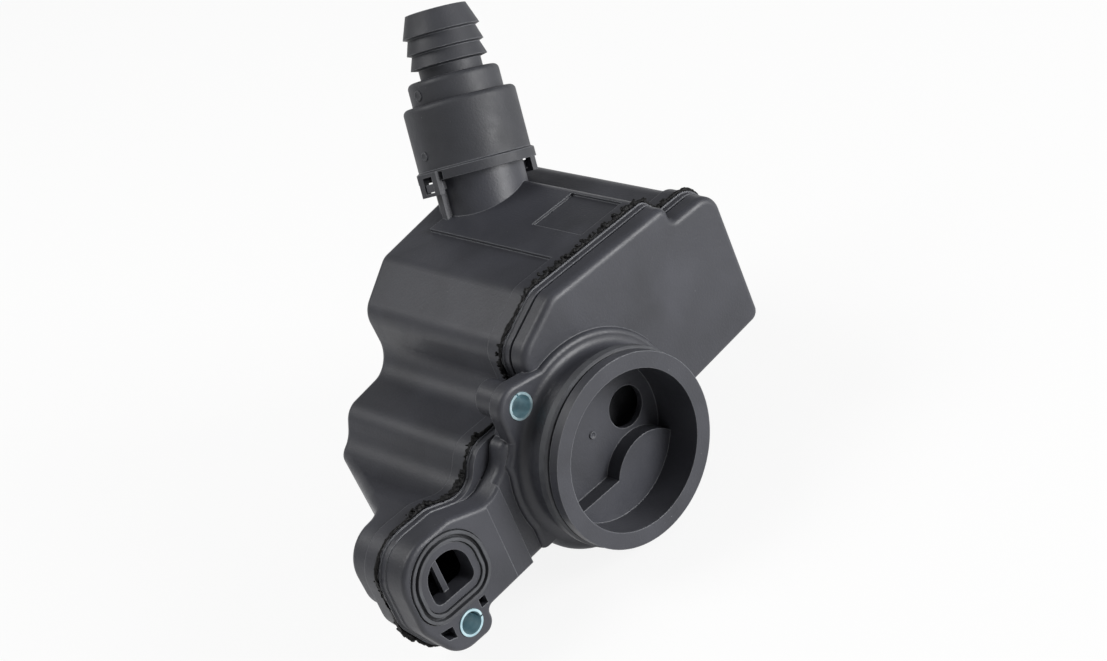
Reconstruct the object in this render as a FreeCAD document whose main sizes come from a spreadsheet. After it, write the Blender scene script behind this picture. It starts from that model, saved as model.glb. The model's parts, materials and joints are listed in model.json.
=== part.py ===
"""Oil breather housing: two moulded shells welded along one plane, a push-on hose
connector, a spigot port, a gasketed drain and two bolt sleeves.

The frame: the port axis is the Y axis and the spigot's open end is the plane Y = 0.
The cover and its port face -Y, the deep chamber lies behind at +Y, and +Z is up.
Places in front of or behind the weld plane are given as heights above it, towards -Y.
All sizes are millimetres and degrees.
"""
import FreeCAD
import Part
import Sketcher
import math
import os
from FreeCAD import Placement, Rotation, Vector

doc = FreeCAD.newDocument("oil_breather_housing")

# Driving dimensions
SIZES = {
    # walls, and the weld between the shells
    "wall": 2.5,
    "mount_height": 12.5,
    "flange_lip": 1.2,
    "flange_depth": 8,
    "cover_lip": 3,
    "cover_inset": 0.35,
    "seam_gap": 0.8,
    "seam_sink": 1.4,
    "cover_height": 10.5,
    "cover_round": 2.5,
    "bead_width": 0.5,
    "bead_height": 0.7,
    # outline of the weld flange, measured from the port axis
    "roof_height": 53,
    "roof_right": 59.5,
    "roof_left": 5,
    "lobe_height": 46.2,
    "lobe_right": 80,
    "floor_drop": 13,
    "floor_rise": 7,
    "belly_half": 4,
    "belly_drop": 18.5,
    "keel_drop": 21.8,
    "shoulder_height": 42.5,
    "ridge_left": 38.5,
    "cheek_left": 33,
    "notch_left": 36.5,
    "notch_height": 15.2,
    "valley_left": 46.5,
    "valley_height": 9.3,
    "brow_left": 62,
    "roof_round": 4,
    "step_round": 2,
    "corner_round": 8,
    "floor_round": 4.2,
    "ridge_round": 9,
    "lug_round": 14,
    "lug_corner": 4.8,
    "keel_round": 11,
    # chamber behind the weld plane
    "back_depth": 95.5,
    "side_spare": 12,
    "fold_left": 48.5,
    "fold_depth": 66,
    "fold_round": 6,
    "slope_left": 69,
    "slope_round": 8,
    "lug_depth": 17,
    "back_round": 2.5,
    "back_lean": 5.2,
    # raised roof pad, its sunk panel and the dish in the back
    "pad_left": 22.5,
    "pad_depth": 74,
    "panel_left": 36,
    "panel_right": 55.5,
    "panel_front": 7.5,
    "panel_back": 33,
    "panel_sink": 1,
    "dish_right": 19.7,
    "dish_up": 15,
    "dish_radius": 9.5,
    "dish_sink": 1.2,
    # spigot for the hose connector
    "neck_right": 48.7,
    "neck_depth": 74.5,
    "neck_lean_right": 20.5,
    "neck_lean_back": 15.9,
    "neck_radius": 16.3,
    "neck_bore": 13,
    "neck_top": 27.5,
    "neck_root": 14,
    "neck_ring_height": 22,
    "ring_section": 1,
    "ring_gap": 0.05,
    # port spigot and its floor
    "port_height": 29.6,
    "port_radius": 32.5,
    "port_bore": 26.9,
    "port_neck": 31.3,
    "port_root_round": 3.2,
    "boss_radius": 36.8,
    "boss_round": 1.8,
    "seal_floor": 29.4,
    "seal_front": 25.8,
    "seal_back": 20.6,
    "seal_radius": 33.2,
    "seal_gap": 0.15,
    "seal_slack": 0.9,
    "seal_bevel": 0.7,
    "port_hole_right": 15,
    "port_hole_up": 2,
    "port_hole_radius": 7.2,
    "shelf_height": 16.5,
    "shelf_drop": 14.5,
    "shelf_right": 11.5,
    "shelf_centre_drop": 22,
    "shelf_radius": 15.5,
    # raised plate round the port, the drain block, and the two cored pockets beside the lower bolt
    "web_left": 35.2,
    "web_high": 19.6,
    "web_low": 14.4,
    "block_right": 41,
    "strip_left": 48.2,
    "strip_sink": 0.25,
    "core_depth": 5,
    "core_right": 8.5,
    "core_width": 2.8,
    "core_rise": 4.8,
    "core_tall": 3.2,
    "wedge_right": 6.4,
    "wedge_width": 5,
    "wedge_rise": 3.6,
    "wedge_tall": 4.4,
    "wedge_slant": 1,
    "drain_roof": 5.5,
    # drain opening, groove and gasket
    "drain_left": 70,
    "drain_half": 8.5,
    "drain_up": 6.4,
    "drain_low": 8.6,
    "drain_round": 8.2,
    "drain_corner": 3,
    "groove_inner": 2.6,
    "groove_outer": 6.6,
    "groove_depth": 3,
    "drain_margin": 1.9,
    "drain_rib": 2,
    "drain_rib_height": 8,
    "gasket_gap": 0.3,
    "gasket_base": 2,
    "gasket_lip": 1.1,
    "gasket_proud": 0.7,
    # bolts, sleeves and their bosses
    "upper_bolt_left": 22.2,
    "upper_bolt_up": 29.9,
    "lower_bolt_left": 70.3,
    "lower_bolt_down": 21,
    "sleeve_radius": 4.6,
    "sleeve_wall": 0.8,
    "sleeve_proud": 0.4,
    "sleeve_length": 15.5,
    "sleeve_slit": 0.6,
    "sleeve_gap": 0.05,
    "boss_wall": 1.6,
    "pocket_radius": 8,
    "ear_radius": 8.4,
    "ear_thick": 5.5,
    "ear_root": 33.5,
    "ear_rise": 0.8,
    "lug_radius": 8.4,
    "tool_radius": 5.2,
    # hose connector, heights along its own axis from the roof
    "tip_height": 64,
    "tip_radius": 10.9,
    "hose_bore": 9.6,
    "barb_radius": 13.8,
    "barb_root": 12.2,
    "barb_first": 56.2,
    "barb_second": 50.5,
    "barb_third": 45.2,
    "barb_edge": 0.6,
    "throat_radius": 11.2,
    "collar_height": 41,
    "collar_radius": 16.4,
    "collar_round": 2,
    "skirt_height": 32.6,
    "skirt_radius": 20.2,
    "skirt_gap": 1,
    "skirt_groove": 2,
    "socket_gap": 0.3,
    "socket_end": 0.5,
    "rim_radius": 21.2,
    "rim_top": 9.6,
    "rim_foot": 6.2,
    "loop_inner": 19.6,
    "loop_outer": 21.7,
    "loop_foot": 1.4,
    "loop_half": 5.5,
    "window_half": 2.6,
    "window_foot": 2.6,
    "window_top": 8.2,
    "catch_half": 2.2,
    "catch_gap": 0.3,
    "catch_thick": 2.8,
    "catch_reach": 21.4,
    "slot_wide": 1.6,
    "slot_tall": 3,
    "rib_half": 1.4,
    "rib_reach": 18.6,
    # separator baffle
    "baffle_thick": 2,
    "baffle_edge": 1,
    "baffle_gap": 0.2,
    "baffle_left": 44,
    "deflector_thick": 1.8,
    "deflector_depth": 40,
    "deflector_pitch": 22,
    "deflector_first": 2,
    "deflector_low": 6,
    "deflector_high": 40,
    "slot_high": 30,
    "slot_width": 9,
}

sheet = doc.addObject("Spreadsheet::Sheet", "sizes")
for row, (alias, value) in enumerate(SIZES.items(), start=1):
    sheet.set("A%d" % row, alias)
    sheet.set("B%d" % row, str(value))
    sheet.setAlias("B%d" % row, alias)
doc.recompute()


# Sums of sizes

def number(text):
    """The value of a sum of sizes, such as 'roof_height - wall'."""
    total = 0.0
    sign = 1
    for word in text.split():
        if word in "+-":
            sign = 1 if word == "+" else -1
            continue
        total += sign * (float(word) if word[0].isdigit() else sheet.get(word))
        sign = 1
    return total


def bound(text):
    """The same sum as an expression that reads the sheet."""
    words = text.split()
    return " ".join(word if word in "+-" or word[0].isdigit() else "sizes." + word for word in words)


def bind(thing, **sums):
    for name, text in sums.items():
        thing.setExpression(name, bound(text))


# Planes and axes of the moulding
OUT = Vector(0, -1, 0)
FACING = Rotation(Vector(1, 0, 0), 90)
SIDEWAYS = Rotation(Vector(1, 0, 0), 180)
NECK = (Rotation(Vector(0, 1, 0), number("neck_lean_right"))
        * Rotation(Vector(1, 0, 0), -number("neck_lean_back")))
neck_foot = Vector(number("neck_right"), number("port_height + neck_depth"), number("roof_height"))
neck_frame = Placement(neck_foot, NECK)


def at_height(thing, height, x="0", z="0", turn=FACING):
    """Place a thing at a height above the weld plane, in front of the point x, z."""
    thing.Placement.Rotation = turn
    thing.setExpression("Placement.Base.x", bound(x))
    thing.setExpression("Placement.Base.y", "sizes.port_height - (" + bound(height) + ")")
    thing.setExpression("Placement.Base.z", bound(z))


def draw(sketch, corners):
    """Draw a closed outline from corners (x, y, radius): sums of sizes, radius None for a sharp corner.

    Lines run between tangent arcs, and a construction point keeps the place of each rounded corner.
    """
    points = [Vector(number(x), number(y), 0) for x, y, radius in corners]
    count = len(points)
    entry, leave, arcs = [], [], []
    for i, (x, y, radius) in enumerate(corners):
        to_last = (points[i - 1] - points[i]).normalize()
        to_next = (points[(i + 1) % count] - points[i]).normalize()
        if radius is None:
            entry.append(points[i])
            leave.append(points[i])
            arcs.append(None)
            continue
        half = to_last.getAngle(to_next) / 2
        reach = number(radius) / math.tan(half)
        entry.append(points[i] + to_last * reach)
        leave.append(points[i] + to_next * reach)
        centre = points[i] + (to_last + to_next).normalize() * (number(radius) / math.sin(half))
        left_turn = to_next.cross(to_last).z > 0
        first, last = (entry[i], leave[i]) if left_turn else (leave[i], entry[i])
        start = math.atan2(first.y - centre.y, first.x - centre.x)
        stop = math.atan2(last.y - centre.y, last.x - centre.x)
        circle = Part.Circle(centre, Vector(0, 0, 1), number(radius))
        arcs.append((Part.ArcOfCircle(circle, start, stop), left_turn))
    for i in range(count):
        sketch.addGeometry(Part.LineSegment(leave[i], entry[(i + 1) % count]), False)
    rules, names = [], []

    def rule(name, *details):
        rules.append(Sketcher.Constraint(*details))
        names.append(name)

    for i, (x, y, radius) in enumerate(corners):
        before, after = (i - 1) % count, i
        if radius is None:
            corner = (after, 1)
            rule(None, "Coincident", before, 2, after, 1)
        else:
            arc, left_turn = arcs[i]
            bend = sketch.addGeometry(arc, False)
            mark = sketch.addGeometry(Part.Point(points[i]), True)
            corner = (mark, 1)
            rule(None, "Tangent", before, 2, bend, 1 if left_turn else 2)
            rule(None, "Tangent", bend, 2 if left_turn else 1, after, 1)
            rule(None, "PointOnObject", mark, 1, before)
            rule(None, "PointOnObject", mark, 1, after)
            rule(("round_%d" % i, radius), "Radius", bend, number(radius))
        for label, kind, text, value, axis in (("across_%d" % i, "DistanceX", x, points[i].x, -2),
                                               ("up_%d" % i, "DistanceY", y, points[i].y, -1)):
            if text == "0":
                rule(None, "PointOnObject", corner[0], corner[1], axis)
            else:
                rule((label, text), kind, corner[0], corner[1], value)
    sketch.addConstraint(rules)
    for index, name in enumerate(names):
        if name:
            sketch.renameConstraint(index, name[0])
            sketch.setExpression("Constraints." + name[0], bound(name[1]))


def outline(name, corners, turn=FACING):
    """A sketch on the weld plane, seen from the front, or on another plane through the port axis there."""
    sketch = doc.addObject("Sketcher::SketchObject", name)
    at_height(sketch, "0", turn=turn)
    draw(sketch, corners)
    return sketch


def grown(name, source, amount):
    """The outline moved outwards by an amount, or inwards by a negative one."""
    wire = doc.addObject("Part::Offset2D", name)
    wire.Source = source
    wire.Join = "Arc"
    bind(wire, Value=amount)
    return wire


def raised(name, base, top, foot="0"):
    """A solid of an outline between two heights above the weld plane."""
    solid = doc.addObject("Part::Extrusion", name)
    solid.Base = base
    solid.DirMode = "Custom"
    solid.Dir = OUT
    solid.Solid = True
    solid.setExpression("LengthFwd", bound(top))
    solid.setExpression("LengthRev", "-(" + bound(foot) + ")")
    return solid


def turned(name, sketch):
    """A solid of revolution about the port axis."""
    solid = doc.addObject("Part::Revolution", name)
    solid.Source = sketch
    solid.Axis = OUT
    solid.Angle = 360
    solid.Solid = True
    return solid


def post(name, radius, foot, top, x="0", z="0"):
    """A cylinder along the port axis between two heights above the weld plane."""
    solid = doc.addObject("Part::Cylinder", name)
    bind(solid, Radius=radius)
    solid.setExpression("Height", bound(top) + " - (" + bound(foot) + ")")
    at_height(solid, foot, x, z)
    return solid


def block(name, left, right, low, high, foot, top):
    """A box between two heights above the weld plane; left, right, low and high as seen from the front."""
    solid = doc.addObject("Part::Box", name)
    solid.setExpression("Length", bound(right) + " - (" + bound(left) + ")")
    solid.setExpression("Width", bound(high) + " - (" + bound(low) + ")")
    solid.setExpression("Height", bound(top) + " - (" + bound(foot) + ")")
    at_height(solid, foot, left, low)
    return solid


def neck_post(name, radius, foot, top):
    """A cylinder on the axis of the spigot, between two heights along it from the roof."""
    solid = doc.addObject("Part::Cylinder", name)
    bind(solid, Radius=radius)
    solid.setExpression("Height", bound(top) + " - (" + bound(foot) + ")")
    solid.Placement = neck_frame * Placement(Vector(0, 0, number(foot)), Rotation())
    return solid


def neck_block(name, inner, outer, start, stop, foot, top, side=1):
    """A box beside the spigot: radial reach, width across and height along its axis, on the +X or -X side."""
    solid = doc.addObject("Part::Box", name)
    solid.setExpression("Length", bound(outer) + " - (" + bound(inner) + ")")
    solid.setExpression("Width", bound(stop) + " - (" + bound(start) + ")")
    solid.setExpression("Height", bound(top) + " - (" + bound(foot) + ")")
    half_turn = Placement(Vector(0, 0, 0), Rotation(Vector(0, 0, 1), 0 if side > 0 else 180))
    corner = Placement(Vector(number(inner), number(start), number(foot)), Rotation())
    solid.Placement = neck_frame * half_turn * corner
    return solid


def fuse(name, *shapes):
    joined = doc.addObject("Part::MultiFuse", name)
    joined.Shapes = list(shapes)
    joined.Refine = True
    return joined


def cut(name, base, *tools):
    result = doc.addObject("Part::Cut", name)
    result.Base = base
    result.Tool = tools[0] if len(tools) == 1 else fuse(name + "_tools", *tools)
    result.Refine = True
    return result


def common(name, base, tool):
    shared = doc.addObject("Part::Common", name)
    shared.Base = base
    shared.Tool = tool
    return shared


def rounded(name, base, radius, chosen):
    """Round the edges of a solid that the chosen function picks from its shape."""
    doc.recompute()
    picked = chosen(base.Shape)
    result = doc.addObject("Part::Fillet", name)
    result.Base = base
    result.Edges = [(i, number(radius), number(radius))
                    for i, edge in enumerate(base.Shape.Edges, start=1)
                    if any(edge.isSame(other) for other in picked)]
    return result


def edges_at(height, keep=lambda point: True):
    """Picks the edges in the plane at a height above the weld plane whose middle the keep test accepts."""
    y = number("port_height") - number(height)

    def level(edge):
        return all(abs(point.Y - y) < 1e-4 for point in edge.Vertexes)

    return lambda shape: [edge for edge in shape.Edges if level(edge) and keep(edge.CenterOfMass)]


def back_rim(shape):
    """Picks the edges between the back of the chamber and its side walls."""
    seen = []
    for face in shape.Faces:
        low_u, high_u, low_v, high_v = face.ParameterRange
        if face.normalAt((low_u + high_u) / 2, (low_v + high_v) / 2).y > 0.2:
            seen += face.Edges
    return [edge for edge in seen if sum(edge.isSame(other) for other in seen) == 1]


# Outlines shared by the shells

lug_left = "- drain_left - drain_half - groove_outer - drain_margin"
lug_top = "drain_up + groove_outer + drain_margin"
lug_low = "- lower_bolt_down - lug_radius"
lug_right = "- lower_bolt_left + lug_radius"
roof_corners = [
    ("roof_right", "roof_height", "roof_round"),
    ("roof_left", "roof_height", "corner_round"),
    ("- upper_bolt_left + pocket_radius", "shoulder_height", "ridge_round"),
    ("- upper_bolt_left + pocket_radius", "upper_bolt_up - pocket_radius", "pocket_radius"),
]
lug_corners = [
    ("- valley_left", "valley_height", "ridge_round"),
    ("- brow_left", lug_top, "corner_round"),
    (lug_left, lug_top, "lug_round"),
    (lug_left, "- floor_drop", "keel_round"),
]
keel_corners = [
    ("- lower_bolt_left - lug_radius", lug_low, "keel_round"),
    (lug_right, lug_low, "lug_corner"),
    (lug_right, "- keel_drop", "step_round"),
]
floor_corners = [
    ("- belly_half", "- belly_drop", "ridge_round"),
    ("belly_half", "- floor_drop", "ridge_round"),
    ("lobe_right", "- floor_drop + floor_rise", "floor_round"),
    ("lobe_right", "lobe_height", "corner_round"),
    ("roof_right", "lobe_height", "step_round"),
]
ridge = [("- ridge_left", "upper_bolt_up - pocket_radius", "ridge_round")]
cheek = [
    ("- cheek_left", "upper_bolt_up - pocket_radius", "roof_round"),
    ("- notch_left", "notch_height", "ridge_round"),
]
keel = [(lug_right, "- keel_drop", "ridge_round")]
flange_line = outline("flange_line", roof_corners + ridge + lug_corners + keel_corners + floor_corners)
chamber_line = outline("chamber_line", roof_corners + ridge + lug_corners + keel + floor_corners)
cheek_line = outline("cheek_line", roof_corners + cheek + lug_corners + keel_corners + floor_corners)
body_line = grown("body_line", chamber_line, "- flange_lip")
body_bore_line = grown("body_bore_line", body_line, "- wall")
cover_line = grown("cover_line", cheek_line, "- cover_inset")
cover_bore_line = grown("cover_bore_line", cover_line, "- wall")

# Side profile of the chamber, seen from above: the back steps forward over a slope to the drain lug
lug_past = lug_left + " - side_spare"
depth_line = outline("depth_line", [
    ("lobe_right + side_spare", "- side_spare", None),
    ("lobe_right + side_spare", "back_depth", None),
    ("- fold_left", "fold_depth", "fold_round"),
    ("- slope_left", "lug_depth", "slope_round"),
    (lug_past, "lug_depth", None),
    (lug_past, "- side_spare", None),
], turn=Rotation())
depth_bore_line = grown("depth_bore_line", depth_line, "- wall")


def depth_prism(name, base):
    """The side profile as a solid that leans back towards its top."""
    solid = doc.addObject("Part::Extrusion", name)
    solid.Base = base
    solid.DirMode = "Custom"
    solid.Dir = Vector(0, math.tan(math.radians(number("back_lean"))), 1)
    solid.Solid = True
    bind(solid, LengthFwd="roof_height + side_spare",
         LengthRev="lower_bolt_down + lug_radius + side_spare")
    return solid


def on_back(x, z):
    """A point on the back wall's outer face, and the direction in which the face looks."""
    slope = number("back_depth - fold_depth") / number("lobe_right + side_spare + fold_left")
    lean = math.tan(math.radians(number("back_lean")))
    depth = number("port_height + fold_depth") + (x + number("fold_left")) * slope + z * lean
    return Vector(x, depth, z), Vector(-slope, 1, -lean).normalize()


# Body shell: chamber, flange, roof pad and spigot

back_limit = "- back_depth - side_spare"
sleeve_back = "mount_height + sleeve_proud - sleeve_length"
chamber = rounded(
    "chamber",
    common("chamber_blank", raised("chamber_walls", body_line, "0", back_limit),
           depth_prism("chamber_depth", depth_line)),
    "back_round", back_rim)
flange = raised("flange", flange_line, "0", "- flange_depth")
pad = common(
    "pad",
    raised("pad_blank", flange_line, "0", "- pad_depth"),
    block("pad_reach", "pad_left", "lobe_right", "roof_height - flange_lip - wall", "roof_height + wall",
          "- pad_depth", "0"))
neck = neck_post("neck", "neck_radius", "- neck_root", "neck_top")
catches = [neck_block("catch_%d" % k, "neck_bore + ring_section", "catch_reach", "- catch_half", "catch_half",
                      "window_foot + catch_gap", "window_foot + catch_gap + catch_thick", side)
           for k, side in enumerate((1, -1))]
neck_ribs = [neck_block("neck_rib_%d" % k, "neck_bore + ring_section", "rib_reach", "- rib_half", "rib_half",
                        "- neck_root + rib_half", "window_foot + catch_gap", side)
             for k, side in enumerate((1, -1))]
column = post("lower_column", "tool_radius + wall", back_limit, "wall",
              "- lower_bolt_left", "- lower_bolt_down")
cavity = cut(
    "cavity",
    common("cavity_blank", raised("cavity_walls", body_bore_line, "wall", back_limit),
           depth_prism("cavity_depth", depth_bore_line)),
    column)
neck_bore = neck_post("neck_bore", "neck_bore", "- neck_root - neck_root", "neck_top + wall")
ring_groove = cut(
    "ring_groove",
    neck_post("ring_groove_outer", "neck_radius + wall", "neck_ring_height - ring_section - ring_gap",
              "neck_ring_height + ring_section + ring_gap"),
    neck_post("ring_groove_floor", "neck_radius + socket_gap - ring_section - ring_section - ring_gap",
              "neck_ring_height - neck_top", "neck_top"))
panel = block("panel", "panel_left", "panel_right", "roof_height - panel_sink", "roof_height + wall",
              "- panel_back", "- panel_front")
tool_bore = post("tool_bore", "tool_radius", "- lug_depth - side_spare", sleeve_back,
                 "- lower_bolt_left", "- lower_bolt_down")
body_sleeve_hole = post("body_sleeve_hole", "sleeve_radius + sleeve_gap", sleeve_back + " - wall", "wall",
                        "- lower_bolt_left", "- lower_bolt_down")
baffle_seat = common(
    "baffle_seat",
    raised("baffle_seat_blank", grown("baffle_seat_line", body_bore_line, "baffle_edge + baffle_gap"),
           "wall", "- baffle_thick"),
    block("baffle_seat_reach", "- baffle_left - baffle_gap", "lobe_right",
          "- belly_drop - wall", "roof_height", "- baffle_thick", "wall"))

# The dish is a shallow round hollow in the middle of the back wall
dish = doc.addObject("Part::Sphere", "dish")
dish_ball = (number("dish_radius") ** 2 + number("dish_sink") ** 2) / (2 * number("dish_sink"))
dish.Radius = dish_ball
dish_middle, dish_look = on_back(number("dish_right"), number("dish_up"))
dish.Placement.Base = dish_middle + dish_look * (dish_ball - number("dish_sink"))

body_shell = cut("body_shell", fuse("body_outer", chamber, flange, pad, neck, *catches, *neck_ribs),
                 cavity, neck_bore, ring_groove, panel, tool_bore, body_sleeve_hole, baffle_seat, dish)

# Cover shell: plateau, drain block, upper ear, port spigot

seam_top = "cover_lip + seam_gap"
cover_rim = raised("cover_rim", flange_line, "cover_lip")
seam = raised("seam", grown("seam_line", cheek_line, "- seam_sink"), seam_top + " + bead_height")
weld_bead = raised("weld_bead", grown("bead_line", flange_line, "bead_width"), "bead_height")
plateau = rounded(
    "plateau",
    common("plateau_blank", raised("plateau_walls", cover_line, "cover_height", seam_top),
           block("plateau_reach", "- block_right", "lobe_right + wall",
                 "- keel_drop - wall", "roof_height + wall", "0", "cover_height")),
    "cover_round", edges_at("cover_height", lambda point: point.x > 0.01 - number("block_right")))
drain_block = rounded(
    "drain_block",
    common("drain_block_blank", raised("drain_block_walls", cover_line, "mount_height"),
           block("drain_block_reach", lug_past, "- block_right", lug_low, "roof_height",
                 "0", "mount_height")),
    "boss_round", edges_at("mount_height", lambda point: point.x < -0.01 - number("block_right")))
port_profile = outline("port_profile", [
    ("0", "cover_height - wall", None),
    ("boss_radius - wall", "cover_height - wall", None),
    ("boss_radius - wall", "cover_lip", None),
    ("boss_radius", "cover_lip", None),
    ("boss_radius", "mount_height", "boss_round"),
    ("port_neck", "mount_height", "port_root_round"),
    ("port_neck", "seal_back", None),
    ("seal_floor", "seal_back", None),
    ("seal_floor", "seal_front", None),
    ("port_radius", "seal_front", None),
    ("port_radius", "port_height", None),
    ("port_bore", "port_height", None),
    ("port_bore", "cover_height", None),
    ("0", "cover_height", None),
], turn=SIDEWAYS)
port = turned("port", port_profile)
ear_line = outline("ear_line", [
    ("0", "ear_root", None),
    ("- upper_bolt_left - ear_radius", "upper_bolt_up + ear_radius + ear_rise", "corner_round"),
    ("- upper_bolt_left - ear_radius", "web_high", "step_round"),
    ("- web_left", "web_low", "step_round"),
    ("- web_left", "- belly_drop", None),
    ("0", "- belly_drop", None),
])
ear = rounded(
    "ear", raised("ear_blank", ear_line, "mount_height", "mount_height - ear_thick"), "boss_round",
    edges_at("mount_height", lambda point: (point.z > number("- belly_drop") + 0.01
                                            and point.x < -number("wall"))))
upper_boss = post("upper_boss", "sleeve_radius + boss_wall", sleeve_back, "mount_height - wall",
                  "- upper_bolt_left", "upper_bolt_up")
cover_cavity = cut(
    "cover_cavity",
    raised("cover_cavity_blank", cover_bore_line, "cover_height - wall", "- wall"),
    block("drain_ceiling", lug_past, "- web_left + wall + wall", lug_low, "upper_bolt_up",
          "drain_roof", "cover_height"),
    post("cover_column", "tool_radius + wall", "- wall", "mount_height",
         "- lower_bolt_left", "- lower_bolt_down"))
port_well = post("port_well", "port_bore", "cover_height", "port_height + wall")
port_hole = post("port_hole", "port_hole_radius", "cover_height - wall - wall", "cover_height + wall",
                 "port_hole_right", "port_hole_up")
shelf_field = fuse(
    "shelf_field",
    block("shelf_straight", "- port_radius", "port_radius", "- port_radius", "- shelf_drop",
          "cover_height - wall", "shelf_height"),
    post("shelf_bulge", "shelf_radius", "cover_height - wall", "shelf_height",
         "shelf_right", "- shelf_centre_drop"))
shelf = common("shelf", post("shelf_round", "port_bore + wall", "cover_height - wall", "shelf_height"),
               shelf_field)
strip = block("strip", "- strip_left", "- block_right", lug_low, "roof_height",
              "mount_height - strip_sink", "mount_height + wall")
core_slot = block("core_slot", "- lower_bolt_left + core_right - core_width",
                  "- lower_bolt_left + core_right", "- lower_bolt_down + core_rise - core_tall",
                  "- lower_bolt_down + core_rise", "mount_height - core_depth", "mount_height + wall")
wedge_line = outline("wedge_line", [
    ("- lower_bolt_left - wedge_right", "- lower_bolt_down + wedge_rise", None),
    ("- lower_bolt_left - wedge_right - wedge_width", "- lower_bolt_down + wedge_rise + wedge_slant", None),
    ("- lower_bolt_left - wedge_right - wedge_width + wedge_slant + wedge_slant",
     "- lower_bolt_down + wedge_rise - wedge_tall + wedge_slant", None),
    ("- lower_bolt_left - wedge_right", "- lower_bolt_down + wedge_rise - wedge_tall", None),
])
core_wedge = raised("core_wedge", wedge_line, "mount_height + wall", "mount_height - core_depth")

# Drain opening: a D with its flat side towards the bolt, a gasket groove round it and a rib across it
drain_line = outline("drain_line", [
    ("- drain_left + drain_half", "drain_up", "drain_round"),
    ("- drain_left - drain_half", "drain_up", "drain_round"),
    ("- drain_left - drain_half", "- drain_low", "drain_corner"),
    ("- drain_left + drain_half", "- drain_low", "drain_corner"),
])
drain_hole = cut(
    "drain_hole",
    raised("drain_hole_blank", drain_line, "mount_height + wall", "- wall"),
    block("drain_rib", "- drain_left - drain_rib", "- drain_left", "- drain_low - wall", "drain_up + wall",
          "drain_roof - wall", "drain_rib_height"))
groove_floor = "mount_height - groove_depth"
drain_groove = cut(
    "drain_groove",
    raised("groove_blank", grown("groove_outer_line", drain_line, "groove_outer"),
           "mount_height + wall", groove_floor),
    raised("groove_island", grown("groove_inner_line", drain_line, "groove_inner"),
           "mount_height", groove_floor))
cover_sleeve_holes = [
    post("upper_sleeve_hole", "sleeve_radius + sleeve_gap", sleeve_back + " - wall", "mount_height + wall",
         "- upper_bolt_left", "upper_bolt_up"),
    post("lower_sleeve_hole", "sleeve_radius + sleeve_gap", "- wall", "mount_height + wall",
         "- lower_bolt_left", "- lower_bolt_down"),
]
cover_outer = fuse("cover_outer", cover_rim, weld_bead, seam, plateau, drain_block, ear, port, upper_boss)
cover_open = cut("cover_open", cover_outer, cover_cavity, port_well, drain_hole, drain_groove,
                 strip, core_slot, core_wedge, *cover_sleeve_holes)
cover_shell = cut("cover_shell", fuse("cover_with_shelf", cover_open, shelf), port_hole)

# Port seal ring: a rubber ring with a bevelled outer land in the spigot's groove
port_seal_ring = turned("port_seal_ring", outline("port_seal_profile", [
    ("seal_floor + ring_gap", "seal_back + seal_gap", None),
    ("seal_radius - seal_bevel", "seal_back + seal_gap", None),
    ("seal_radius", "seal_back + seal_gap + seal_bevel", None),
    ("seal_radius", "seal_front - seal_slack - seal_bevel", None),
    ("seal_radius - seal_bevel", "seal_front - seal_slack", None),
    ("seal_floor + ring_gap", "seal_front - seal_slack", None),
], turn=SIDEWAYS))

# Drain gasket: a rubber D with two standing lips
gasket_in = grown("gasket_in", drain_line, "groove_inner + gasket_gap")
gasket_out = grown("gasket_out", drain_line, "groove_outer - gasket_gap")
gasket_top = "mount_height - groove_depth + gasket_base"
gasket_crest = "mount_height + gasket_proud"
lip_in = grown("lip_in", drain_line, "groove_inner + gasket_gap + gasket_lip")
lip_out = grown("lip_out", drain_line, "groove_outer - gasket_gap - gasket_lip")
drain_gasket = cut(
    "drain_gasket",
    raised("gasket_blank", gasket_out, gasket_crest, groove_floor),
    raised("gasket_hole", gasket_in, "mount_height + wall", groove_floor + " - wall"),
    cut("gasket_valley", raised("gasket_valley_blank", lip_out, "mount_height + wall", gasket_top),
        raised("gasket_valley_island", lip_in, "mount_height + wall + wall", groove_floor)))


# Bolt sleeves: rolled from strip, with a slit along one side

def bolt_sleeve(name, x, z, slit_turn):
    body = doc.addObject("PartDesign::Body", name)
    at_height(body, "mount_height + sleeve_proud", x, z, FACING * Rotation(Vector(0, 0, 1), slit_turn))
    ground = [plane for plane in body.Origin.OriginFeatures if plane.Role == "XY_Plane"]
    ring = body.newObject("Sketcher::SketchObject", name + "_ring")
    ring.AttachmentSupport = (ground[0], [""])
    ring.MapMode = "FlatFace"
    for index, (label, size) in enumerate((("outer", "sleeve_radius"),
                                           ("inner", "sleeve_radius - sleeve_wall"))):
        ring.addGeometry(Part.Circle(Vector(0, 0, 0), Vector(0, 0, 1), number(size)), False)
        ring.addConstraint(Sketcher.Constraint("Coincident", index, 3, -1, 1))
        rule = ring.addConstraint(Sketcher.Constraint("Radius", index, number(size)))
        ring.renameConstraint(rule, label)
        ring.setExpression("Constraints." + label, bound(size))
    tube = body.newObject("PartDesign::Pad", name + "_tube")
    tube.Profile = ring
    tube.Reversed = True
    bind(tube, Length="sleeve_length")
    slit_line = body.newObject("Sketcher::SketchObject", name + "_slit_line")
    slit_line.AttachmentSupport = (ground[0], [""])
    slit_line.MapMode = "FlatFace"
    draw(slit_line, [
        ("sleeve_slit", "0", None),
        ("sleeve_slit", "sleeve_radius + sleeve_wall", None),
        ("0", "sleeve_radius + sleeve_wall", None),
        ("0", "0", None),
    ])
    doc.recompute()
    slit = body.newObject("PartDesign::Pocket", name + "_slit")
    slit.Profile = slit_line
    bind(slit, Length="sleeve_length")
    return body


upper_bolt_sleeve = bolt_sleeve("upper_bolt_sleeve", "- upper_bolt_left", "upper_bolt_up", 0)
lower_bolt_sleeve = bolt_sleeve("lower_bolt_sleeve", "- lower_bolt_left", "- lower_bolt_down", -90)

# Hose connector: turned form with three barbs, collar and skirt, and two snap loops

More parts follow.
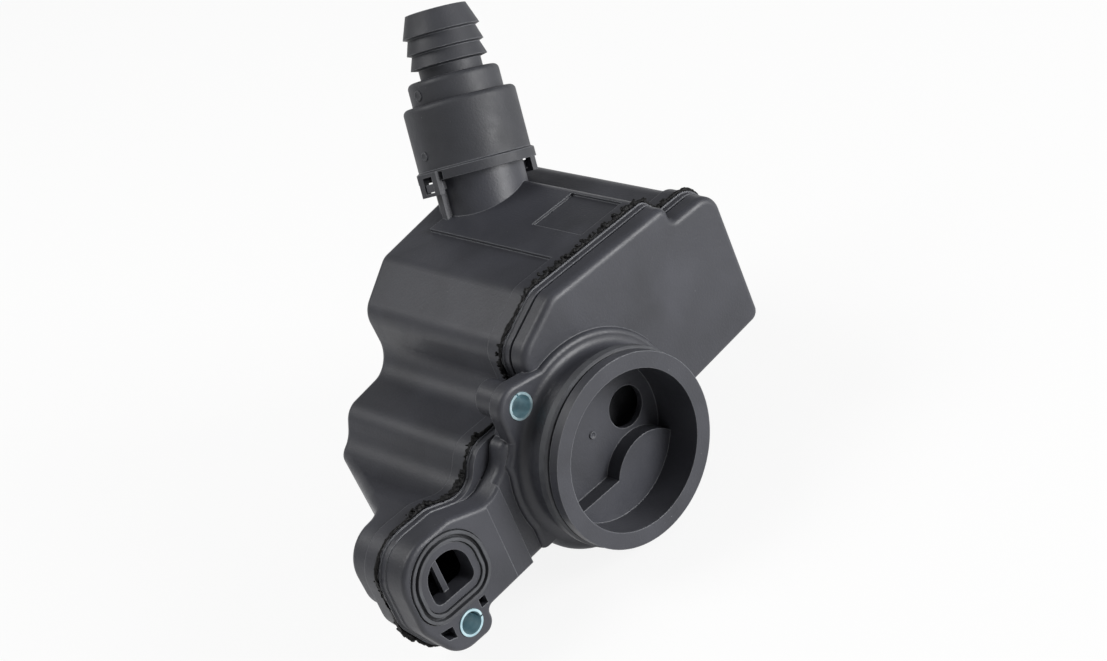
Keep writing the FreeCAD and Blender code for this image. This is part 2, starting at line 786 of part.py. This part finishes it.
connector_profile = doc.addObject("Sketcher::SketchObject", "connector_profile")
connector_profile.Placement = neck_frame * Placement(Vector(0, 0, 0), FACING)
draw(connector_profile, [
    ("hose_bore", "tip_height", None),
    ("hose_bore", "neck_top + socket_end", None),
    ("neck_radius + socket_gap", "neck_top + socket_end", None),
    ("neck_radius + socket_gap", "rim_foot", None),
    ("rim_radius", "rim_foot", None),
    ("rim_radius", "rim_top", None),
    ("skirt_radius", "rim_top + barb_edge", None),
    ("skirt_radius", "skirt_height", "collar_round"),
    ("collar_radius + skirt_gap", "skirt_height", None),
    ("collar_radius + skirt_gap", "skirt_height - skirt_groove", None),
    ("collar_radius", "skirt_height - skirt_groove", None),
    ("collar_radius", "collar_height", "collar_round"),
    ("throat_radius", "collar_height", None),
    ("throat_radius", "barb_third - barb_edge", None),
    ("barb_radius", "barb_third", None),
    ("barb_root", "barb_second - barb_edge", None),
    ("barb_radius", "barb_second", None),
    ("barb_root", "barb_first - barb_edge", None),
    ("barb_radius", "barb_first", None),
    ("tip_radius", "tip_height", None),
])
connector_turned = doc.addObject("Part::Revolution", "connector_turned")
connector_turned.Source = connector_profile
connector_turned.Base = neck_frame.Base
connector_turned.Axis = NECK.multVec(Vector(0, 0, 1))
connector_turned.Angle = 360
connector_turned.Solid = True
loops, loop_cuts = [], []
for k, side in enumerate((1, -1)):
    loops.append(neck_block("loop_%d" % k, "loop_inner", "loop_outer", "- loop_half", "loop_half",
                            "loop_foot", "rim_top", side))
    loop_cuts.append(neck_block("window_%d" % k, "neck_radius", "loop_outer + wall",
                                "- window_half", "window_half", "window_foot", "window_top", side))
    for hand, (start, stop) in enumerate((("loop_half", "loop_half + slot_wide"),
                                          ("- loop_half - slot_wide", "- loop_half"))):
        loop_cuts.append(neck_block("slot_%d_%d" % (k, hand), "neck_radius", "rim_radius + wall", start, stop,
                                    "rim_foot - wall", "rim_foot + slot_tall", side))
hose_connector = cut("hose_connector", fuse("connector_with_loops", connector_turned, *loops), *loop_cuts)

# Connector seal ring
connector_seal_ring = doc.addObject("Part::Torus", "connector_seal_ring")
bind(connector_seal_ring, Radius1="neck_radius + socket_gap - ring_section - ring_gap",
     Radius2="ring_section - ring_gap")
connector_seal_ring.Placement = neck_frame * Placement(Vector(0, 0, number("neck_ring_height")), Rotation())

# Separator baffle: a plate clamped between the shells, with slots and staggered deflector walls behind it
baffle_plate = common(
    "baffle_plate",
    raised("baffle_blank", grown("baffle_line", body_bore_line, "baffle_edge"), "0", "- baffle_thick"),
    block("baffle_reach", "- baffle_left", "lobe_right", "- belly_drop - wall", "roof_height",
          "- baffle_thick", "0"))
deflectors, baffle_slots = [], []
for k in range(3):
    steps = " + deflector_pitch" * k
    wall_left = "deflector_first" + steps
    drop = k % 2
    low = "- deflector_low" if drop else "deflector_low"
    high = "slot_high" if drop else "deflector_high"
    deflectors.append(block("deflector_%d" % k, wall_left, wall_left + " + deflector_thick", low, high,
                            "- baffle_thick - deflector_depth", "- baffle_thick"))
    slot_left = wall_left + " + deflector_thick + deflector_thick"
    baffle_slots.append(block("baffle_slot_%d" % k, slot_left, slot_left + " + slot_width", "deflector_low",
                              "slot_high", "- baffle_thick - wall", "wall"))
separator_baffle = cut("separator_baffle", fuse("baffle_walls", baffle_plate, *deflectors), *baffle_slots)

# Check and export every node

NODES = {
    "body_shell": body_shell,
    "cover_shell": cover_shell,
    "hose_connector": hose_connector,
    "connector_seal_ring": connector_seal_ring,
    "port_seal_ring": port_seal_ring,
    "drain_gasket": drain_gasket,
    "upper_bolt_sleeve": upper_bolt_sleeve,
    "lower_bolt_sleeve": lower_bolt_sleeve,
    "separator_baffle": separator_baffle,
}
doc.recompute()
failed = [thing.Name for thing in doc.Objects if {"Invalid", "Error"} & set(thing.State)]
for label, thing in NODES.items():
    thing.Label = label
    if thing.Shape.isNull() or not thing.Shape.isValid():
        failed.append(label)
if failed:
    raise RuntimeError("failed objects: " + ", ".join(failed))
os.makedirs("parts", exist_ok=True)
for label, thing in NODES.items():
    thing.Shape.exportStep("parts/%s.step" % label)
    box = thing.Shape.BoundBox
    print(label, len(thing.Shape.Solids), "solids", round(thing.Shape.Volume), "mm3",
          [round(v, 1) for v in (box.XMin, box.XMax, box.YMin, box.YMax, box.ZMin, box.ZMax)])
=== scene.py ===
import json
import random
from bisect import bisect_right
from math import radians
import bpy
from mathutils import Matrix, Vector

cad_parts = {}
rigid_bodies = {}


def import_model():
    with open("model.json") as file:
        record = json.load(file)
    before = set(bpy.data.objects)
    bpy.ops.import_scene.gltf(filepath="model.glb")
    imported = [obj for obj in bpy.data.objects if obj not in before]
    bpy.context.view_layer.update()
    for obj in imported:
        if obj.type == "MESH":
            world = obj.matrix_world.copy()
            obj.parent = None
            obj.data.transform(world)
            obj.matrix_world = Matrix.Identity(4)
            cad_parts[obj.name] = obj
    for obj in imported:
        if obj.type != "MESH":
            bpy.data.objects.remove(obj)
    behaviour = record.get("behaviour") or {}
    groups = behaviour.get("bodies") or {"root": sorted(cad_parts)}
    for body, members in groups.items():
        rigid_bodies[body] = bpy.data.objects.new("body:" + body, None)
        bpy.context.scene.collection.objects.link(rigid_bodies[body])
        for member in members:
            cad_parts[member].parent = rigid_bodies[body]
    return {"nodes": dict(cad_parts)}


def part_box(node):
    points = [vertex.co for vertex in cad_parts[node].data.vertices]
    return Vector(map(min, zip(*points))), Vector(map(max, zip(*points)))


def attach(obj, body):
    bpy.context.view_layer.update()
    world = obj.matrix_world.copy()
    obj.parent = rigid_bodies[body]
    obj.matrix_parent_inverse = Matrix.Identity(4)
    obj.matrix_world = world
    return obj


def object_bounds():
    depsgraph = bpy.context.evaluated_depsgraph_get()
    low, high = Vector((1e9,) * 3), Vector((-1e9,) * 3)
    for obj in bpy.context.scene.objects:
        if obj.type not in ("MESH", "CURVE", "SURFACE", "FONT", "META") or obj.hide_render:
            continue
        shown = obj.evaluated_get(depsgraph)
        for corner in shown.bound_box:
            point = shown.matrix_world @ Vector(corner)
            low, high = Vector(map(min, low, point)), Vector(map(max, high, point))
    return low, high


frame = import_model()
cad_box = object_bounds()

# Body shell
# The deep rear half of the housing, moulded in one shot from black glass-filled nylon.
# It carries the wavy wall, the roof pad, the spigot and the back half of the bolt lug.


def linear(hex_text):
    """An sRGB hex colour as linear red, green, blue and alpha."""
    parts = [int(hex_text[i:i + 2], 16) / 255 for i in (1, 3, 5)]
    return [p / 12.92 if p <= 0.04045 else ((p + 0.055) / 1.055) ** 2.4 for p in parts] + [1]


def add_node(tree, kind, inputs=None, **settings):
    """Adds a node, sets its properties, and fills its inputs with values or links to sockets."""
    node = tree.nodes.new(kind)
    for name, value in settings.items():
        setattr(node, name, value)
    for name, value in (inputs or {}).items():
        if isinstance(value, bpy.types.NodeSocket):
            tree.links.new(value, node.inputs[name])
        else:
            node.inputs[name].default_value = value
    return node


def new_material(name):
    """An empty node material, and its tree."""
    material = bpy.data.materials.new(name)
    material.use_nodes = True
    material.node_tree.nodes.clear()
    return material, material.node_tree


def per_mm(size):
    """The scale of a pattern whose features are about that many millimetres across."""
    return 1000 / size


def moulded_nylon(name, dark, light, grain_mm, rough_low, rough_high, dust=0.5, gloss=0.38, edge_highlight=0.75):
    """Black glass-filled nylon as it leaves the mould: a satin skin with a fine spark-eroded grain.

    Broad clouds of colour and gloss follow the flow of the melt. Corners are a little round, and a painted
    highlight makes them paler; a few specks of dust lie on the skin. The grain is drawn coarser than the
    real one, which is too fine to show at this size.
    """
    material, tree = new_material(name)
    place = add_node(tree, "ShaderNodeTexCoord").outputs["Object"]
    flow = add_node(tree, "ShaderNodeTexNoise", {
        "Vector": place, "Scale": per_mm(28), "Detail": 3, "Distortion": 0.6})
    clouds = add_node(tree, "ShaderNodeMapRange", {
        "Value": flow.outputs["Fac"], "From Min": 0.3, "From Max": 0.7})
    shade = add_node(tree, "ShaderNodeMixRGB", {
        "Fac": clouds.outputs["Result"], "Color1": linear(dark), "Color2": linear(light)})
    # Painted highlight: a corner is made paler where its rounded normal turns away from the plain one
    corner = add_node(tree, "ShaderNodeBevel", {"Radius": 0.0005}, samples=4)
    flat = add_node(tree, "ShaderNodeNewGeometry").outputs["Normal"]
    facing = add_node(tree, "ShaderNodeVectorMath", {
        0: corner.outputs["Normal"], 1: flat}, operation="DOT_PRODUCT")
    edge_highlight_mask = add_node(tree, "ShaderNodeMapRange", {
        "Value": facing.outputs["Value"], "From Min": 0.995, "From Max": 0.88, "To Min": 0, "To Max": edge_highlight})
    with_edge_highlight = add_node(tree, "ShaderNodeMixRGB", {
        "Fac": edge_highlight_mask.outputs["Result"], "Color1": shade.outputs["Color"], "Color2": linear("#75777b")})
    # A speck lies in the middle of about a quarter of the cells
    cells = add_node(tree, "ShaderNodeTexVoronoi", {"Vector": place, "Scale": per_mm(3.4)})
    near = add_node(tree, "ShaderNodeMapRange", {
        "Value": cells.outputs["Distance"], "From Min": 0.05, "From Max": 0.035,
        "To Min": 0, "To Max": dust})
    pick = add_node(tree, "ShaderNodeSeparateColor", {"Color": cells.outputs["Color"]})
    chosen = add_node(tree, "ShaderNodeMath", {
        0: pick.outputs["Red"], 1: 0.72}, operation="GREATER_THAN")
    speck = add_node(tree, "ShaderNodeMath", {
        0: near.outputs["Result"], 1: chosen.outputs["Value"]}, operation="MULTIPLY")
    dusty = add_node(tree, "ShaderNodeMixRGB", {
        "Fac": speck.outputs["Value"], "Color1": with_edge_highlight.outputs["Color"], "Color2": linear("#8a8b8d")})
    blush = add_node(tree, "ShaderNodeTexNoise", {"Vector": place, "Scale": per_mm(7), "Detail": 4})
    rough = add_node(tree, "ShaderNodeMapRange", {
        "Value": blush.outputs["Fac"], "From Min": 0.3, "From Max": 0.7,
        "To Min": rough_low, "To Max": rough_high})
    grain = add_node(tree, "ShaderNodeTexNoise", {
        "Vector": place, "Scale": per_mm(grain_mm), "Detail": 2, "Roughness": 0.6})
    skin = add_node(tree, "ShaderNodeBump", {
        "Height": grain.outputs["Fac"], "Strength": 0.6, "Distance": 0.00012,
        "Normal": corner.outputs["Normal"]})
    surface = add_node(tree, "ShaderNodeBsdfPrincipled", {
        "Base Color": dusty.outputs["Color"], "Roughness": rough.outputs["Result"],
        "Normal": skin.outputs["Normal"], "IOR": 1.53, "Specular IOR Level": gloss})
    add_node(tree, "ShaderNodeOutputMaterial", {"Surface": surface.outputs["BSDF"]})
    return material


def dress(node_name, material):
    """Gives a CAD node one material all over."""
    mesh = frame["nodes"][node_name].data
    mesh.materials.clear()
    mesh.materials.append(material)
    for face in mesh.polygons:
        face.material_index = 0


shell_nylon = moulded_nylon("shell_nylon", "#2e2f34", "#3a3b41", 0.9, 0.41, 0.49)
dress("body_shell", shell_nylon)

# Separator baffle
# A flat moulded plate with deflector walls, clamped between the shells before they are welded.
# It is the same nylon, and shows only through the drain and the hole in the port.
dress("separator_baffle", moulded_nylon("baffle_nylon", "#27282b", "#303135", 0.9, 0.46, 0.58, dust=0))

# Cover shell
# The shallow front half with the round port, the upper ear and the drain block.
# It comes from the same material as the body, and is rubbed onto it until the two melt together.
dress("cover_shell", shell_nylon)

# Weld flash
# Melt that was squeezed out of the joint and froze as a thin ragged line along the whole seam.
# It follows the cover's own outline: a thin bead with crumbs heaped where more melt came out.
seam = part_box("body_shell")[0].y
outline_cut = seam - 0.0003
bead_out = 0.0004
bead_back = 0.0007
bead_radius = 0.0006
crumb_out = (0.0003, 0.0015)
crumb_back = 0.001
crumb_scatter = 0.0005
crumb_radius = (0.0003, 0.0008)
finest_detail = 0.00022
crease = radians(40)
cover = frame["nodes"]["cover_shell"]
flash = cover.copy()
flash.data = cover.data.copy()
flash.name = "weld_flash"
flash.parent = None
for key in list(flash.keys()):
    del flash[key]
bpy.context.scene.collection.objects.link(flash)
bpy.ops.object.select_all(action="DESELECT")
flash.select_set(True)
bpy.context.view_layer.objects.active = flash
bpy.ops.object.mode_set(mode="EDIT")
bpy.ops.mesh.select_all(action="SELECT")
bpy.ops.mesh.remove_doubles(threshold=1e-6)
bpy.ops.mesh.bisect(plane_co=(0, outline_cut, 0), plane_no=(0, 1, 0), clear_inner=True, clear_outer=True)
bpy.ops.mesh.select_all(action="DESELECT")
bpy.ops.object.mode_set(mode="OBJECT")
# The cut leaves several rings, and the one that reaches furthest right is the outline
rightmost = max(flash.data.vertices, key=lambda vertex: vertex.co.x)
rightmost.select = True
bpy.ops.object.mode_set(mode="EDIT")
bpy.ops.mesh.select_linked()
bpy.ops.mesh.select_all(action="INVERT")
bpy.ops.mesh.delete(type="VERT")
bpy.ops.object.mode_set(mode="OBJECT")
bpy.ops.object.convert(target="CURVE")
ring = [point.co.xyz for point in flash.data.splines[0].points]
pairs = list(zip(ring, ring[1:] + ring[:1]))
reach = [0]
for start, stop in pairs:
    reach.append(reach[-1] + (stop - start).length)
outside = 1 if sum(start.x * stop.z - stop.x * start.z for start, stop in pairs) > 0 else -1
for index, point in enumerate(flash.data.splines[0].points):
    before = ring[index - 1]
    after = ring[(index + 1) % len(ring)]
    run = (after - before).normalized()
    shift = Vector((run.z * outside * bead_out, bead_back, -run.x * outside * bead_out))
    point.co.xyz = ring[index] + shift
flash.data.bevel_depth = bead_radius
flash.data.bevel_resolution = 2
bpy.ops.object.convert(target="MESH")


def seam_point(distance):
    """The point that far along the seam, and the direction that looks out of the housing there."""
    index = bisect_right(reach, distance) - 1
    start, stop = pairs[min(index, len(pairs) - 1)]
    run = (stop - start).normalized()
    return start + run * (distance - reach[index]), Vector((run.z, 0, -run.x)) * outside


# Heaps of crumbs: x and z of the middle and the reach from it in millimetres, and how many crumbs
heaps = (
    (-48, 11.5, 7, 70), (-63, 13.5, 5, 45), (-86.8, 0, 6, 55), (-84, -15, 6, 55), (18, 53, 16, 50),
    (46, 53, 13, 50), (61, 48, 6, 40), (-13.5, 37, 7, 30), (-36, 22, 5, 20), (80, 20, 22, 40),
    (-40, -20.5, 16, 30))
chance = random.Random(4)
bpy.ops.object.mode_set(mode="EDIT")
for x_mm, z_mm, reach_mm, crumbs in heaps:
    middle = Vector((x_mm, 0, z_mm)) / 1000
    while crumbs:
        spot, outward = seam_point(chance.uniform(0, reach[-1]))
        if Vector((spot.x - middle.x, 0, spot.z - middle.z)).length > reach_mm / 1000:
            continue
        spot = spot + outward * chance.uniform(*crumb_out)
        spot.y += chance.gauss(crumb_back, crumb_scatter)
        bpy.ops.mesh.primitive_ico_sphere_add(
            subdivisions=1, radius=chance.uniform(*crumb_radius), location=spot)
        crumbs -= 1
bpy.ops.object.mode_set(mode="OBJECT")
even = flash.modifiers.new("even", "REMESH")
even.mode = "VOXEL"
even.voxel_size = finest_detail
bpy.ops.object.modifier_apply(modifier="even")
for label, size_mm, lift in (("swell", 7, 0.0008), ("rags", 1.3, 0.0008), ("grit", 0.5, 0.0003)):
    noise = bpy.data.textures.new("flash_" + label, "CLOUDS")
    noise.noise_scale = size_mm / 1000
    noise.noise_depth = 2
    crumple = flash.modifiers.new(label, "DISPLACE")
    crumple.texture = noise
    crumple.texture_coords = "LOCAL"
    crumple.strength = lift
    crumple.mid_level = 0.5
    bpy.ops.object.modifier_apply(modifier=label)
for vertex in flash.data.vertices:
    vertex.co.x = min(max(vertex.co.x, cad_box[0].x), cad_box[1].x)
bpy.ops.object.shade_smooth_by_angle(angle=crease)
# The flash gets no painted highlight on its corners
flash_melt = moulded_nylon("flash_melt", "#050506", "#0d0d0e", 0.7, 0.5, 0.7, dust=0, gloss=0.2, edge_highlight=0)
flash.data.materials.clear()
flash.data.materials.append(flash_melt)
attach(flash, "root")

# Gate scars
# Stubs left where the melt came in and was broken off, one on the port's floor and one in the back's
# dish. Each is a low round pip with a dimple in its middle, of the shells' own nylon.


def mould_pip(name, place, away, radius, rise, material):
    """A low round pip with a dimple, sunk half into a surface that looks in the direction away."""
    rim_width = radius * 0.3
    dimple_slope = radius * 0.15
    dimple_depth = rise * 0.6
    edge_round = rise * 0.25
    bpy.ops.object.select_all(action="DESELECT")
    bpy.ops.mesh.primitive_cylinder_add(vertices=40, radius=radius, depth=2 * rise, location=place,
                                        rotation=away.to_track_quat("Z", "Y").to_euler())
    pip = bpy.context.object
    pip.name = name
    bpy.ops.object.transform_apply(location=True, rotation=True, scale=True)
    bpy.ops.object.mode_set(mode="EDIT")
    bpy.ops.mesh.select_mode(type="FACE")
    bpy.ops.mesh.select_all(action="DESELECT")
    bpy.ops.object.mode_set(mode="OBJECT")
    for face in pip.data.polygons:
        face.select = face.normal.dot(away) > 0.9
    bpy.ops.object.mode_set(mode="EDIT")
    bpy.ops.mesh.inset(thickness=rim_width, depth=0)
    bpy.ops.mesh.inset(thickness=dimple_slope, depth=-dimple_depth)
    bpy.ops.object.mode_set(mode="OBJECT")
    soften = pip.modifiers.new("soften", "BEVEL")
    soften.width = edge_round
    soften.segments = 2
    bpy.ops.object.modifier_apply(modifier="soften")
    bpy.ops.object.shade_smooth_by_angle(angle=crease)
    pip.data.materials.append(material)
    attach(pip, "root")


scar_rise = 0.0005
port_floor = seam - 0.0105
port_place = Vector((-0.001, port_floor, 0.002))
forward = Vector((0, -1, 0))
behind_dish = Vector((0.0165, 0.3, 0.0155))
dish_place, dish_away = frame["nodes"]["body_shell"].ray_cast(behind_dish, forward)[1:3]
mould_pip("port_gate_scar", port_place, forward, 0.0013, scar_rise, shell_nylon)
mould_pip("back_gate_scar", dish_place, dish_away, 0.0018, scar_rise, shell_nylon)

# Bolt sleeves
# Rolled from zinc-plated steel strip and pressed into the plastic, so that the bolts clamp on metal.
# The plating is bluish under a clear film that is duller in patches. The fine lines along the sleeve,
# from drawing the strip, are shown coarser than they are.
plated, tree = new_material("blue_zinc_steel")
place = add_node(tree, "ShaderNodeTexCoord").outputs["Object"]
along = add_node(tree, "ShaderNodeMapping", {"Vector": place, "Scale": (1, 0.06, 1)})
lines = add_node(tree, "ShaderNodeTexNoise", {
    "Vector": along.outputs["Vector"], "Scale": per_mm(0.5), "Detail": 2})
film = add_node(tree, "ShaderNodeTexNoise", {"Vector": place, "Scale": per_mm(3), "Detail": 3})
patches = add_node(tree, "ShaderNodeMapRange", {
    "Value": film.outputs["Fac"], "From Min": 0.35, "From Max": 0.7})
tint = add_node(tree, "ShaderNodeMixRGB", {
    "Fac": patches.outputs["Result"], "Color1": linear("#a3c3cc"), "Color2": linear("#c6dde3")})
dull = add_node(tree, "ShaderNodeMapRange", {"Value": film.outputs["Fac"], "To Min": 0.3, "To Max": 0.5})
drawn = add_node(tree, "ShaderNodeBump", {
    "Height": lines.outputs["Fac"], "Strength": 0.2, "Distance": 0.00003})
surface = add_node(tree, "ShaderNodeBsdfPrincipled", {
    "Base Color": tint.outputs["Color"], "Roughness": dull.outputs["Result"],
    "Normal": drawn.outputs["Normal"], "Metallic": 0.8})
add_node(tree, "ShaderNodeOutputMaterial", {"Surface": surface.outputs["BSDF"]})
dress("upper_bolt_sleeve", plated)
dress("lower_bolt_sleeve", plated)

# Seal rings and drain gasket
# Moulded rubber, matt black with a faint bloom, pressed into their grooves by hand. The gasket has two
# lips, and the rings are round or bevelled where they seal. The pores are drawn coarser than they are.
rubber, tree = new_material("moulded_rubber")
place = add_node(tree, "ShaderNodeTexCoord").outputs["Object"]
bloom = add_node(tree, "ShaderNodeTexNoise", {"Vector": place, "Scale": per_mm(5), "Detail": 4})
haze = add_node(tree, "ShaderNodeMapRange", {
    "Value": bloom.outputs["Fac"], "From Min": 0.35, "From Max": 0.75})
soot = add_node(tree, "ShaderNodeMixRGB", {
    "Fac": haze.outputs["Result"], "Color1": linear("#35363a"), "Color2": linear("#45474b")})
matt = add_node(tree, "ShaderNodeMapRange", {"Value": bloom.outputs["Fac"], "To Min": 0.5, "To Max": 0.68})
soft = add_node(tree, "ShaderNodeBevel", {"Radius": 0.0004}, samples=4)
pores = add_node(tree, "ShaderNodeTexNoise", {"Vector": place, "Scale": per_mm(0.6), "Detail": 2})
skin = add_node(tree, "ShaderNodeBump", {
    "Height": pores.outputs["Fac"], "Strength": 0.2, "Distance": 0.00005, "Normal": soft.outputs["Normal"]})
surface = add_node(tree, "ShaderNodeBsdfPrincipled", {
    "Base Color": soot.outputs["Color"], "Roughness": matt.outputs["Result"],
    "Normal": skin.outputs["Normal"], "IOR": 1.52})
add_node(tree, "ShaderNodeOutputMaterial", {"Surface": surface.outputs["BSDF"]})
dress("port_seal_ring", rubber)
dress("drain_gasket", rubber)
dress("connector_seal_ring", rubber)

# Hose connector
# A separate nylon moulding with three barbs, pushed over the body's spigot until its loops snap home.
# It has a finer and more matt skin than the shells.
connector_nylon = moulded_nylon("connector_nylon", "#2c2d31", "#37383d", 0.8, 0.5, 0.62, dust=0.3)
dress("hose_connector", connector_nylon)

# Connector marks
# Two round marks of mould pins over the connector's left loop, one on the collar, one on the skirt.
# They stand a little proud of the nylon and are dished like the gate scars.
# The connector's axis, from its foot on the body, and the side that the left loop is on
neck_foot = Vector((0.0487, 0.1041, 0.053))
neck_axis = Vector((0.3368, 0.2740, 0.9008))
loop_side = Vector((-0.9367, 0, 0.3502))
mark_rise = 0.0003
# Each mark's height along the neck, distance from the axis, and radius
marks = (("collar_mark", 0.0361, 0.0164, 0.0019), ("skirt_mark", 0.0154, 0.0202, 0.0016))
for name, height, off_axis, radius in marks:
    mark_place = neck_foot + neck_axis * height + loop_side * off_axis
    mould_pip(name, mark_place, loop_side, radius, mark_rise, connector_nylon)

# Floor
# A plain white sheet under the object, large enough to fill the picture.
# Seen by the camera or in a reflection it is nearly white, with a soft shadow left under the object.
own_white = 0.88
bpy.ops.object.select_all(action="DESELECT")
bpy.ops.mesh.primitive_plane_add(size=8, location=(0, 0, cad_box[0].z))
floor = bpy.context.object
floor.name = "floor"
white_sheet, tree = new_material("white_sheet")
paper = add_node(tree, "ShaderNodeBsdfPrincipled", {"Base Color": linear("#f2f2f1"), "Roughness": 0.9})
glow = add_node(tree, "ShaderNodeEmission", {"Color": linear("#ffffff"), "Strength": 1})
ray = add_node(tree, "ShaderNodeLightPath")
seen = add_node(tree, "ShaderNodeMath", {
    0: ray.outputs["Is Camera Ray"], 1: ray.outputs["Is Glossy Ray"]}, operation="MAXIMUM")
shown = add_node(tree, "ShaderNodeMath", {
    0: seen.outputs["Value"], 1: ray.outputs["Is Transmission Ray"]}, operation="MAXIMUM")
share = add_node(tree, "ShaderNodeMath", {0: shown.outputs["Value"], 1: own_white}, operation="MULTIPLY")
blend = add_node(tree, "ShaderNodeMixShader", {
    "Fac": share.outputs["Value"], 1: paper.outputs["BSDF"], 2: glow.outputs["Emission"]})
add_node(tree, "ShaderNodeOutputMaterial", {"Surface": blend.outputs["Shader"]})
floor.data.materials.append(white_sheet)

# Studio light
# A large soft box in front on the right, a weaker one above and behind on the left, and a surround
# that is pale at the horizon and darker overhead, as in a room with a dark ceiling.
# The heights in the surround are those of a direction of length 1.
horizon_top = 0.06
ceiling_edge = 0.26
horizon_strength = 0.75
ceiling_strength = 0.23
middle = (cad_box[0] + cad_box[1]) / 2
for name, spot, width, power in (("key_light", (0.75, -1.25, 0.4), 0.8, 31),
                                 ("top_light", (-0.5, 0.65, 1.1), 0.7, 10)):
    lamp = bpy.data.lights.new(name, "AREA")
    lamp.size = width
    lamp.energy = power
    holder = bpy.data.objects.new(name, lamp)
    holder.location = spot
    holder.rotation_euler = (middle - Vector(spot)).to_track_quat("-Z", "Y").to_euler()
    bpy.context.scene.collection.objects.link(holder)
surround = bpy.data.worlds.new("surround")
surround.use_nodes = True
tree = surround.node_tree
tree.nodes.clear()
way = add_node(tree, "ShaderNodeTexCoord").outputs["Generated"]
height = add_node(tree, "ShaderNodeSeparateXYZ", {"Vector": way})
level = add_node(tree, "ShaderNodeMapRange", {
    "Value": height.outputs["Z"], "From Min": horizon_top, "From Max": ceiling_edge,
    "To Min": horizon_strength, "To Max": ceiling_strength})
sky = add_node(tree, "ShaderNodeBackground", {"Color": (1, 1, 1, 1), "Strength": level.outputs["Result"]})
add_node(tree, "ShaderNodeOutputWorld", {"Surface": sky.outputs["Background"]})
bpy.context.scene.world = surround
bpy.context.scene.view_settings.view_transform = "Standard"

# Camera
# It stands where the front view of the photograph was taken, leaning over as that picture does.
stand = Vector((-0.3444, -0.5511, 0.4063))
look = Vector((0.455, 0.751, -0.479)).normalized()
upright = Vector((0.559, 0.165, 0.811))
across = look.cross(upright).normalized()
upright = across.cross(look)
lens = bpy.data.cameras.new("camera")
lens.sensor_width = 36
lens.lens = 78.05
camera = bpy.data.objects.new("camera", lens)
turn = Matrix((across, upright, -look)).transposed()
camera.matrix_world = Matrix.Translation(stand) @ turn.to_4x4()
bpy.context.scene.collection.objects.link(camera)
bpy.context.scene.camera = camera
